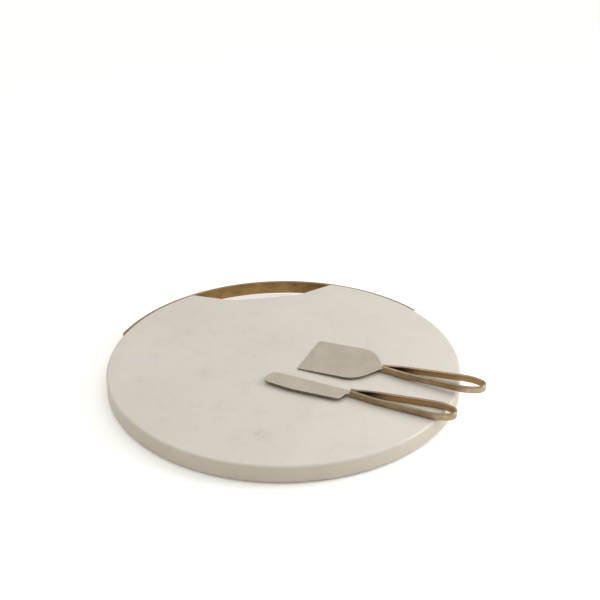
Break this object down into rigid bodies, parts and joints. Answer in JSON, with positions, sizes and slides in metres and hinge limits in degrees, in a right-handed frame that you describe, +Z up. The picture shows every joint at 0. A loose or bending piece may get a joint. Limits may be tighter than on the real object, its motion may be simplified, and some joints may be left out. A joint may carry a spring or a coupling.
{
  "type": "cheese board set",
  "caption": "Round marble cheese board with a brass bar handle round its rim, and a cheese spade and a cheese spreader with brass loop handles lying on it.",
  "frame": {"origin": "on the slab's axis, on the surface that the set stands on", "axes": "+Z up out of the serving surface, +Y from the slab's axis towards the hand-hold and the middle of the brass bar, +X to the right"},
  "size_m": [0.3107, 0.3081, 0.0256],
  "materials": {
    "marble": "honed, warm white with faint grey mottling",
    "band_brass": "brushed, antique",
    "loop_brass": "brushed, antique",
    "anchor_brass": "turned",
    "screw_steel": "brass plated, dull",
    "blade_steel": "satin",
    "foot_rubber": "matt, translucent grey"
  },
  "bodies": {
    "board": {"marble_slab": "marble", "brass_band_handle": "band_brass", "band_screws": "screw_steel", "band_anchors": "anchor_brass", "foot_front_left": "foot_rubber", "foot_front_right": "foot_rubber", "foot_back_left": "foot_rubber", "foot_back_right": "foot_rubber"},
    "spade": {"spade_blade": "blade_steel", "spade_handle_loop": "loop_brass", "spade_tang_pin": "loop_brass"},
    "spreader": {"spreader_blade": "blade_steel", "spreader_handle_loop": "loop_brass", "spreader_tang_pin": "loop_brass"}
  },
  "joints": [
    {"name": "spade_lift", "type": "slide", "parent": "board", "child": "spade", "axis": [0, 0, 1], "range_m": [0, 0.08]},
    {"name": "spreader_lift", "type": "slide", "parent": "board", "child": "spreader", "axis": [0, 0, 1], "range_m": [0, 0.08]}
  ]
}
